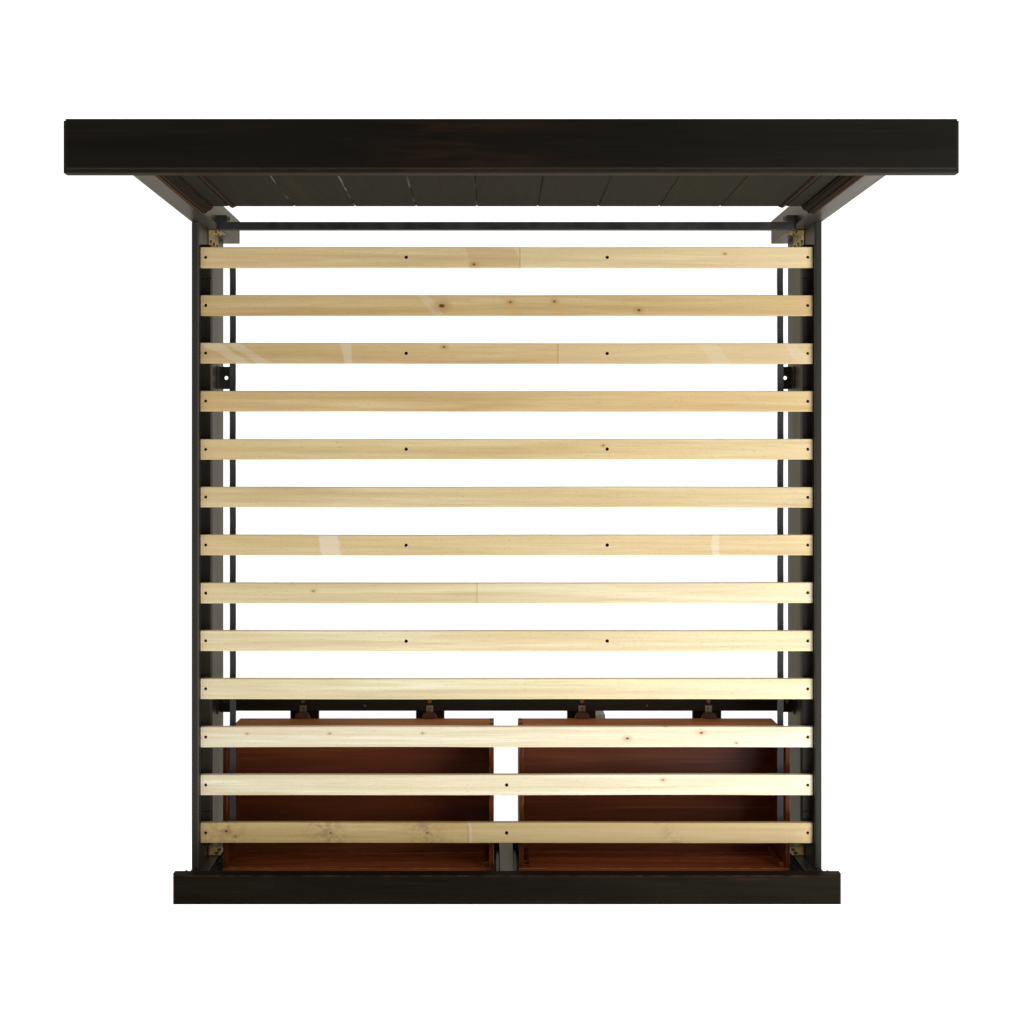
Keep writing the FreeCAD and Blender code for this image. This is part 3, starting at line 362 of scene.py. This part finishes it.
def slat_wood(number, middle_y, knots, seams, patches):
    """Pale sawn hardwood: grain, knots, finger joints and skipped patches."""
    s = Surface("slat_wood_%02d" % number, Specular_IOR_Level=0.5)
    place = s.add("TexCoord", output="Object")
    shifted = s.vector_math("ADD", place, (number * 3.7, number * 1.3, 0.0))
    x = s.add("SeparateXYZ", {0: place})
    y = x.node.outputs[1]
    bands = s.noise(s.scaled(shifted, (0.9, 30.0, 30.0)), 1.0, 4.0, 0.9)
    tone = s.noise(s.scaled(shifted, (1.7, 4.0, 4.0)), 1.0, 3.0)
    fibre = s.noise(s.scaled(shifted, (7.0, 420.0, 420.0)), 1.0, 3.0)
    fleck = s.noise(s.scaled(shifted, (60.0, 700.0, 700.0)), 1.0, 1.0)
    colour = s.mix(s.remap(bands, 0.32, 0.68), (0.66, 0.48, 0.22), (0.90, 0.74, 0.43))
    colour = s.mix(s.remap(tone, 0.35, 0.7, 0.0, 0.6), colour, (0.84, 0.61, 0.30))
    colour = s.mix(s.remap(fibre, 0.35, 0.75, 0.0, 0.38), colour, (0.50, 0.32, 0.13))
    colour = s.mix(s.remap(fleck, 0.66, 0.72, 0.0, 0.45), colour, (0.36, 0.20, 0.08))
    for seam, tint in seams:
        beyond = s.math("GREATER_THAN", x, seam)
        colour = s.mix(s.math("MULTIPLY", beyond, tint), colour, (0.88, 0.76, 0.50))
        near = s.remap(s.math("ABSOLUTE", s.math("SUBTRACT", x, seam)), 0.0006, 0.0020, 0.6, 0.0)
        colour = s.mix(near, colour, (0.30, 0.18, 0.08))
    wobble = s.math("MULTIPLY", s.math("SUBTRACT", s.noise(place, 14.0, 4.0), 0.5), 0.05)
    across = s.math("SUBTRACT", y, middle_y)
    blotch = s.remap(s.noise(place, 55.0, 5.0, 0.6), 0.44, 0.60)
    for left, right, lean, amount, tint in patches:
        skew = s.math("ADD", s.math("ADD", x, s.math("MULTIPLY", across, lean)), wobble)
        offset = s.math("ABSOLUTE", s.math("SUBTRACT", skew, (left + right) / 2))
        reach = (right - left) / 2
        inside = s.remap(offset, reach + 0.002, reach - 0.004, 0.0, amount)
        if tint == "grey":
            inside = s.math("MULTIPLY", s.remap(offset, reach * 1.6, 0.0, 0.0, amount), blotch)
        colour = s.mix(inside, colour, PATCH_TINTS[tint])
    for knot_x, knot_y, radius in knots:
        gap = s.vector_math("SUBTRACT", place, (knot_x, knot_y, 0.0))
        gap = s.vector_math("MULTIPLY", gap, (0.62, 1.0, 0.0))
        distance = s.add("VectorMath", {0: gap}, output="Value", operation="LENGTH")
        distance = s.math("ADD", distance, s.math("MULTIPLY", s.noise(place, 130.0), radius * 0.7))
        halo = s.remap(distance, radius * 4.5, radius * 1.6, 0.0, 0.55)
        colour = s.mix(halo, colour, (0.50, 0.27, 0.09))
        core = s.remap(distance, radius * 1.45, radius * 0.95, 0.0, 0.92)
        colour = s.mix(core, colour, (0.06, 0.026, 0.010))
    # Per-slat multiplier: the slats' own tones, with a painted sheen on slats 8 to 12.
    s.put(s.shader.inputs["Base Color"], s.mix(1.0, colour, SLAT_TONES_AND_SHEEN[number], "MULTIPLY"))
    s.put(s.shader.inputs["Roughness"], s.remap(fibre, 0.3, 0.7, 0.40, 0.55))
    s.set_bump(s.math("ADD", fibre, s.math("MULTIPLY", bands, 0.7)), 0.45, 0.0006)
    return s.material


# Marks on the slats, in metres along and across the bed. Knots are (x, y,
# radius); a seam is (x, how much paler the wood is beyond it); a patch is
# (left, right, lean, strength, tint). The tone table multiplies each slat's colour:
# the slats' own tones, with a painted sheen that makes slats 8 to 12 paler and whiter, and slat 13 darker.
PATCH_TINTS = {"pale": (0.92, 0.86, 0.70), "red": (0.50, 0.24, 0.10), "orange": (0.78, 0.42, 0.12),
               "grey": (0.42, 0.31, 0.20)}
# Slats 8 to 12 are painted paler and whiter, most in blue: a painted sheen.
SLAT_TONES_AND_SHEEN = {1: (1.00, 1.01, 1.00), 2: (0.84, 0.81, 0.72), 3: (0.87, 0.84, 0.79), 4: (0.91, 0.86, 0.76),
              5: (0.97, 0.99, 0.98), 6: (0.95, 0.98, 1.02), 7: (0.98, 1.01, 1.05), 8: (1.03, 1.12, 1.28),
              9: (1.05, 1.16, 1.36), 10: (1.08, 1.24, 1.52), 11: (1.10, 1.30, 1.80), 12: (1.10, 1.30, 1.75),
              13: (0.78, 0.72, 0.58)}
KNOTS = {
    1: [(-0.105, 0.903, 0.0035), (0.70, 0.937, 0.002)],
    2: [(-0.208, 0.770, 0.0065), (0.0115, 0.782, 0.0028), (0.153, 0.784, 0.0028), (0.424, 0.756, 0.0036)],
    3: [(-0.201, 0.638, 0.003)],
    5: [(0.31, 0.322, 0.0022)],
    8: [(-0.62, -0.145, 0.0022)],
    11: [(0.387, -0.618, 0.0036), (0.625, -0.600, 0.0036), (-0.833, -0.603, 0.0018), (-0.568, -0.602, 0.002),
         (-0.27, -0.601, 0.002), (0.737, -0.633, 0.002), (0.510, -0.578, 0.0018)],
    12: [(0.501, -0.751, 0.0026)],
    13: [(-0.90, -0.915, 0.0035), (-0.87, -0.932, 0.0025), (-0.565, -0.921, 0.0028), (-0.254, -0.92, 0.0025)],
}
SEAMS = {1: [(0.0426, 0.2)], 3: [(0.1645, 0.25)], 8: [(-0.095, 0.15)], 13: [(-0.124, 0.3)]}
PATCHES = {
    1: [(-0.131, 0.036, 0.4, 0.24, "red")],
    2: [(-0.26, -0.22, 1.0, 0.25, "pale"), (-0.006, 0.042, 0.6, 0.25, "orange"),
        (0.155, 0.178, 0.6, 0.25, "orange")],
    3: [(-0.926, -0.87, 1.6, 0.32, "pale"), (-0.845, -0.80, 1.6, 0.30, "pale"),
        (-0.525, -0.49, 0.2, 0.40, "pale"), (0.636, 0.70, 0.8, 0.22, "pale"),
        (0.908, 0.96, 0.8, 0.22, "pale")],
    7: [(-0.60, -0.535, 0.2, 0.40, "pale"), (0.66, 0.69, 0.1, 0.3, "pale")],
    13: [(-0.955, -0.845, 0.5, 0.75, "grey"), (-0.63, -0.52, 0.6, 0.75, "grey"),
         (-0.31, -0.21, 0.6, 0.75, "grey"), (-0.13, -0.118, 0.0, 0.45, "pale"),
         (0.49, 0.55, 0.8, 0.5, "grey")],
}


def metal(name, low, high, roughness, spots=18.0, metallic=1.0, scratch=0.3, tinge=None):
    """Plated or bare metal: uneven colour, fine brushing and soft scratches."""
    s = Surface(name, Metallic=metallic)
    place, _ = s.coordinates()
    cloud = s.noise(place, spots, 5.0, 0.5)
    brushed = s.noise(s.scaled(place, (900.0, 900.0, 60.0)), 1.0, 2.0)
    colour = s.mix(s.remap(cloud, 0.35, 0.68), low, high)
    if tinge:
        drift = s.noise(s.scaled(place, (1.0, 1.0, 1.0), (5.0, 9.0, 2.0)), spots * 0.7, 3.0, 1.0)
        colour = s.mix(s.remap(drift, 0.50, 0.62, 0.0, 0.8), colour, tinge)
    s.put(s.shader.inputs["Base Color"], colour)
    uneven = s.remap(s.math("ADD", cloud, s.math("MULTIPLY", brushed, 0.5)), 0.5, 1.0)
    s.put(s.shader.inputs["Roughness"], s.remap(uneven, 0.0, 1.0, roughness - 0.08, roughness + 0.14))
    s.set_bump(brushed, scratch, 0.0002)
    return s.material


def moulded_plastic(name, low, high, roughness):
    """Injection-moulded plastic with a fine spark-eroded texture."""
    s = Surface(name)
    place, _ = s.coordinates()
    cloud = s.noise(place, 30.0, 3.0)
    stipple = s.noise(place, 1400.0, 2.0)
    s.put(s.shader.inputs["Base Color"], s.mix(s.remap(cloud, 0.35, 0.65), low, high))
    s.put(s.shader.inputs["Roughness"], s.remap(stipple, 0.3, 0.7, roughness - 0.07, roughness + 0.1))
    s.set_bump(stipple, 0.4, 0.0003)
    return s.material


def webbing():
    """Black woven tape: diagonal yarns, slightly furry."""
    s = Surface("black_webbing", Sheen_Weight=0.25, Sheen_Roughness=0.5)
    place = s.add("TexCoord", output="Object")
    turned = s.add("Mapping", {"Vector": place, "Rotation": (0.0, 0.0, radians(35.0))})
    inputs = {"Vector": turned, "Scale": 260.0, "Distortion": 0.6, "Detail": 1.0}
    yarn = s.add("TexWave", inputs, output="Fac")
    fuzz = s.noise(place, 900.0, 2.0)
    s.put(s.shader.inputs["Base Color"], s.mix(yarn, (0.004, 0.004, 0.005), (0.016, 0.016, 0.017)))
    s.put(s.shader.inputs["Roughness"], s.remap(fuzz, 0.3, 0.7, 0.7, 0.92))
    s.set_bump(s.math("ADD", yarn, s.math("MULTIPLY", fuzz, 0.4)), 0.6, 0.0006)
    return s.material


def studio_floor():
    """White floor: it glows white to the camera, and lights the bed dimmer and warmer."""
    s = Surface("studio_floor", Roughness=0.9, Specular_IOR_Level=0.1)
    place = s.add("TexCoord", output="Object")
    soft = s.remap(s.noise(place, 1.5), 0.3, 0.7, 0.40, 0.43)
    s.put(s.shader.inputs["Base Color"], s.add("CombineXYZ", {0: soft, 1: soft, 2: soft}))
    seen = s.add("LightPath", output="Is Camera Ray")
    s.put(s.shader.inputs["Emission Color"], s.mix(seen, (1.0, 0.90, 0.70), (1.0, 1.0, 1.0)))
    s.put(s.shader.inputs["Emission Strength"], s.remap(seen, 0.0, 1.0, 0.42, 1.0))
    return s.material


# ---- pieces from the frame --------------------------------------------------------
def finish_piece(piece, node, material):
    """Ride where the CAD node rides, stand for it, and take its finish."""
    piece.data.materials.clear()
    piece.data.materials.append(material)
    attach(piece, nodes[node]["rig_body"])
    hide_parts(node)
    return piece


SHARP_DEGREES = 38.0


def shade_softly(piece, angle=SHARP_DEGREES):
    """Smooth across rounded edges while the flat faces stay flat."""
    mesh = piece.data
    mesh.polygons.foreach_set("use_smooth", [True] * len(mesh.polygons))
    mesh.set_sharp_from_angle(angle=radians(angle))
    modifier = piece.modifiers.new("flat_faces", "WEIGHTED_NORMAL")
    modifier.keep_sharp = True


def solid_copy(node):
    """The CAD node's shape as a welded bmesh with whole faces."""
    work = bmesh.new()
    work.from_mesh(nodes[node].data)
    bmesh.ops.remove_doubles(work, verts=work.verts, dist=1e-5)
    bmesh.ops.dissolve_limit(work, angle_limit=radians(0.5), verts=work.verts, edges=work.edges)
    return work


def ease_edges(work, width, segments=2):
    sharp = [edge for edge in work.edges if edge.calc_face_angle(0.0) > radians(SHARP_DEGREES)]
    bmesh.ops.bevel(work, geom=sharp, offset=width, segments=segments, profile=0.5,
                    affect="EDGES", clamp_overlap=True)


def eased(node, slot, material, width=0.0012):
    """The node's boards or castings with softened edges."""
    work = solid_copy(node)
    ease_edges(work, width)
    mesh = bpy.data.meshes.new(node + "_eased")
    work.to_mesh(mesh)
    work.free()
    piece = bpy.data.objects.new(node + "_eased", mesh)
    scene.collection.objects.link(piece)
    finish_piece(piece, node, material)
    shade_softly(piece)
    return piece


def slat_piece(number, material):
    """A sawn slat: eased edges, and a slight bow and twist along its length."""
    node = slat_node(number)
    work = solid_copy(node)
    ease_edges(work, 0.0008, 1)
    low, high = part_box(node)
    cuts = 40
    for step in range(1, cuts):
        x = low.x + (high.x - low.x) * step / cuts
        geometry = work.verts[:] + work.edges[:] + work.faces[:]
        bmesh.ops.bisect_plane(work, geom=geometry, plane_co=(x, 0, 0), plane_no=(1, 0, 0))
    for vert in work.verts:
        bow = noise.noise(Vector((vert.co.x * 1.3, number * 2.1, 0.0)))
        rough = noise.noise(Vector((vert.co.x * 9.0, number * 5.3, vert.co.y * 20.0)))
        vert.co.y += 0.0016 * bow + 0.0004 * rough
        vert.co.z += 0.0003 * rough
    mesh = bpy.data.meshes.new(node + "_sawn")
    work.to_mesh(mesh)
    work.free()
    piece = bpy.data.objects.new(node + "_sawn", mesh)
    scene.collection.objects.link(piece)
    finish_piece(piece, node, material)
    shade_softly(piece)


LEG_HOLE_X = 0.3225
LEG_HOLE_SLATS = (1, 3, 5, 7, 9)
MIDDLE_HOLE_SLATS = (12, 13)


def leg_hole_shade_inserts(material):
    """Threaded cups in the slats' leg holes, black and closed at the bottom: they put painted shade down the
    holes.
    """
    radius = 0.0054
    wall = 0.0012
    spokes = 24
    low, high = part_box(slat_node(1))
    top = high.z - 0.0022
    # The closed bottom and black finish stand in for the shade down the holes.
    floor = low.z + 0.007
    places = [(side * LEG_HOLE_X, middle_across(number)) for number in LEG_HOLE_SLATS for side in (-1, 1)]
    places += [(0.0, middle_across(number)) for number in MIDDLE_HOLE_SLATS]
    outline = [(radius, low.z + 0.001), (radius, top), (radius - wall, top)]
    for turn in range(5):
        z = top - 0.0012 - turn * 0.0018
        outline += [(radius - wall - 0.0004, z), (radius - wall, z - 0.0009)]
    outline.append((radius - wall, floor))

    def build(work):
        for x, y in places:
            rings = []
            for reach, z in outline:
                angles = [2 * pi * spoke / spokes for spoke in range(spokes)]
                rings.append([work.verts.new((x + reach * cos(a), y + reach * sin(a), z)) for a in angles])
            for a, b in zip(rings, rings[1:]):
                for k in range(spokes):
                    work.faces.new((a[k], a[(k + 1) % spokes], b[(k + 1) % spokes], b[k]))
            work.faces.new(rings[0][::-1])
            work.faces.new(rings[-1])
        bmesh.ops.recalc_face_normals(work, faces=work.faces)

    piece = mesh_piece("leg_hole_shade_inserts", build)
    piece.data.materials.append(material)
    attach(piece, "bed_frame")
    shade_softly(piece, 40.0)


def strap_pair(material):
    """Two ribbed tapes that touch each slat and sag a little between them."""
    low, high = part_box("slat_straps")
    width = 0.020
    thick = 0.0016
    pitch = 0.0022
    sag = 0.003

    def build(work):
        for side in (-1, 1):
            rows = []
            count = int((high.y - low.y) / pitch)
            for step in range(count + 1):
                y = low.y + pitch * step
                phase = (y - MIDDLE_Y) / SLAT_PITCH
                drop = sag * sin(pi * phase) ** 2
                wander = 0.0022 * noise.noise(Vector((y * 1.6, side * 4.0, 0.0)))
                x = side * (high.x - width / 2) + wander
                rib = 0.00035 * (step % 2)
                half = width / 2
                top = high.z - 0.0001 - drop - rib
                bottom = high.z - thick - drop + rib
                section = [(x - half, top - 0.0004), (x - half + 0.0008, top), (x + half - 0.0008, top)]
                section += [(x + half, top - 0.0004), (x + half, bottom + 0.0004)]
                section += [(x + half - 0.0008, bottom), (x - half + 0.0008, bottom)]
                section.append((x - half, bottom + 0.0004))
                rows.append([work.verts.new((px, y, pz)) for px, pz in section])
            for a, b in zip(rows, rows[1:]):
                for k in range(8):
                    work.faces.new((a[k], a[(k + 1) % 8], b[(k + 1) % 8], b[k]))
            work.faces.new(rows[0][::-1])
            work.faces.new(rows[-1])

    piece = mesh_piece("woven_straps", build)
    finish_piece(piece, "slat_straps", material)


def turned_knobs(side, material):
    """Smooth lathe-turned knobs on the places of the CAD knobs."""
    node = "drawer_" + side + "_knobs"
    low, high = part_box(node)
    radius = (high.z - low.z) / 2
    reach = high.y - low.y
    middle_z = (high.z + low.z) / 2
    outline = [(0.60, 0.00), (0.60, 0.06), (0.55, 0.10), (0.42, 0.15), (0.38, 0.24), (0.38, 0.36)]
    outline += [(0.43, 0.47), (0.58, 0.56), (0.80, 0.63), (0.93, 0.69), (0.99, 0.745), (1.00, 0.78)]
    outline += [(0.96, 0.825), (0.84, 0.875), (0.80, 0.865), (0.76, 0.885), (0.60, 0.94), (0.35, 0.985)]
    spokes = 48

    def build(work):
        for x in (low.x + radius, high.x - radius):
            rings = []
            for share, depth in outline:
                ring = []
                for spoke in range(spokes):
                    angle = 2 * pi * spoke / spokes
                    place = (x + share * radius * cos(angle), high.y - depth * reach,
                             middle_z + share * radius * sin(angle))
                    ring.append(work.verts.new(place))
                rings.append(ring)
            for a, b in zip(rings, rings[1:]):
                for k in range(spokes):
                    work.faces.new((a[k], a[(k + 1) % spokes], b[(k + 1) % spokes], b[k]))
            work.faces.new(rings[0][::-1])
            tip = work.verts.new((x, low.y, middle_z))
            for k in range(spokes):
                work.faces.new((rings[-1][k], rings[-1][(k + 1) % spokes], tip))
        bmesh.ops.recalc_face_normals(work, faces=work.faces)

    piece = mesh_piece("drawer_" + side + "_turned_knobs", build)
    finish_piece(piece, node, material)
    shade_softly(piece, 50.0)


# ---- the whole bed --------------------------------------------------------------
add_camera()
add_world()
add_softbox("key", (2.9, -2.8, 3.2), (0.2, -0.1, 0.3), (2.6, 2.6), 185.0)
add_softbox("right", (3.7, 0.3, 3.2), (0.4, 0.0, 0.3), (2.4, 2.4), 112.0)
add_softbox("fill", (-4.2, 0.6, 2.7), (0.0, 0.0, 0.3), (2.6, 2.6), 52.0)
add_softbox("front", (0.2, -3.7, 2.0), (0.0, -0.3, 0.3), (3.0, 1.4), 54.0)
add_floor(studio_floor())

wood_x = espresso(X)
wood_y = espresso(Y)
mouldings = moulding_wood()
# The cap takes the darker copy of the espresso: painted shade on its top.
cap_wood = espresso(X, "espresso_cap", ESPRESSO_SHADED_TOPS, wear=1.0, edge=0.006, specular=0.03, coat=0.0)
gloss_y = espresso(Y, "espresso_gloss", specular=0.72, roughness=0.38, dusty=0.5)
gloss_z = espresso(Z, "espresso_gloss", specular=0.95, roughness=0.36, dusty=0.5)
planks = plank_wood()
for name, material, width in (
    ("headboard_post_right", gloss_z, 0.0010),
    ("headboard_post_left", gloss_z, 0.0010),
    ("headboard_stiles", planks, 0.0010),
    ("headboard_planks", planks, 0.0006),
    ("headboard_top_rail", wood_x, 0.0010),
    ("headboard_back_battens", wood_x, 0.0012),
    ("headboard_crown", crown_wood(), 0.0010),
    ("headboard_crown_cove", wood_x, 0.0006),
    ("headboard_outer_moulding", mouldings, 0.0006),
    ("headboard_panel_moulding", mouldings, 0.0006),
    ("side_rail_right", gloss_y, 0.0012),
    ("side_rail_left", gloss_y, 0.0012),
    ("slat_cleats", wood_y, 0.0010),
    ("drawer_cross_board", wood_x, 0.0012),
    ("runner_boards", wood_y, 0.0012),
    ("footboard_posts", gloss_z, 0.0010),
    ("footboard_centre_stile", gloss_z, 0.0010),
    ("footboard_top_rail", wood_x, 0.0010),
    ("footboard_bottom_rail", wood_x, 0.0010),
    ("footboard_cap", cap_wood, 0.0010),
    ("footboard_cove", wood_x, 0.0006),
    ("drawer_left_face", wood_x, 0.0010),
    ("drawer_right_face", wood_x, 0.0010),
):
    eased(name, "dark_wood", material, width)

drawer_y = mahogany(Y)
drawer_z = mahogany(Z)
# The back and the front take paler copies of the drawer wood: painted light.
drawer_back = mahogany(X, "mahogany_lit_back", MAHOGANY_LIT_BACK, coat=0.0, specular=0.12)
drawer_front = mahogany(X, "mahogany_lit_front", MAHOGANY_LIT_FRONT, roughness=0.20, specular=0.6, coat=0.3)
drawer_floor = mahogany(X, "mahogany_floor", roughness=0.24, specular=0.35)
for side in ("left", "right"):
    for part, material in (("box_front", drawer_front), ("box_sides", drawer_y), ("box_back", drawer_back),
                           ("bottom", drawer_floor), ("corner_block", drawer_z)):
        eased("drawer_" + side + "_" + part, "drawer_wood", material, 0.0007)

for number in range(1, SLAT_COUNT + 1):
    marks = (KNOTS.get(number, []), SEAMS.get(number, []), PATCHES.get(number, []))
    slat_piece(number, slat_wood(number, middle_across(number), *marks))

zinc = metal("yellow_zinc", (0.42, 0.36, 0.17), (0.66, 0.62, 0.38), 0.38, tinge=(0.58, 0.40, 0.24))
steel = metal("bright_steel", (0.30, 0.25, 0.18), (0.46, 0.41, 0.32), 0.36)
black_steel = metal("black_steel", (0.010, 0.010, 0.009), (0.022, 0.021, 0.018), 0.5, metallic=0.0)
brown_screws = metal("bronze_zinc", (0.22, 0.11, 0.06), (0.38, 0.22, 0.13), 0.4)
# A darker copy of the bronze zinc for the slat screws sunk in their holes: painted shade.
dark_screws = metal("bronze_zinc_shaded", (0.030, 0.018, 0.008), (0.070, 0.040, 0.018), 0.55)
bronze = metal("dark_bronze", (0.035, 0.022, 0.014), (0.09, 0.055, 0.03), 0.36)
brown_plastic = moulded_plastic("brown_plastic", (0.050, 0.017, 0.009), (0.080, 0.030, 0.017), 0.45)
grey_plastic = moulded_plastic("grey_plastic", (0.40, 0.41, 0.41), (0.48, 0.49, 0.48), 0.4)
for name, slot, material, width in (
    ("corner_brackets", "yellow_zinc", zinc, 0.0005),
    ("bracket_bolts", "yellow_zinc", zinc, 0.0006),
    ("slat_screws", "bronze_zinc", dark_screws, 0.0003),
    ("frame_screws", "bronze_zinc", brown_screws, 0.0004),
    ("head_cross_bar", "black_steel", black_steel, 0.0006),
    ("cross_bar_brackets", "black_steel", black_steel, 0.0005),
    ("rail_brackets", "black_steel", black_steel, 0.0005),
    ("monorails", "bright_steel", steel, 0.0003),
    ("runner_foot", "grey_plastic", grey_plastic, 0.0005),
    ("drawer_left_guides", "brown_plastic", brown_plastic, 0.0010),
    ("drawer_right_guides", "brown_plastic", brown_plastic, 0.0010),
):
    eased(name, slot, material, width)

leg_hole_shade_inserts(black_steel)
strap_pair(webbing())
turned_knobs("left", bronze)
turned_knobs("right", bronze)

scene.view_settings.view_transform = "Standard"
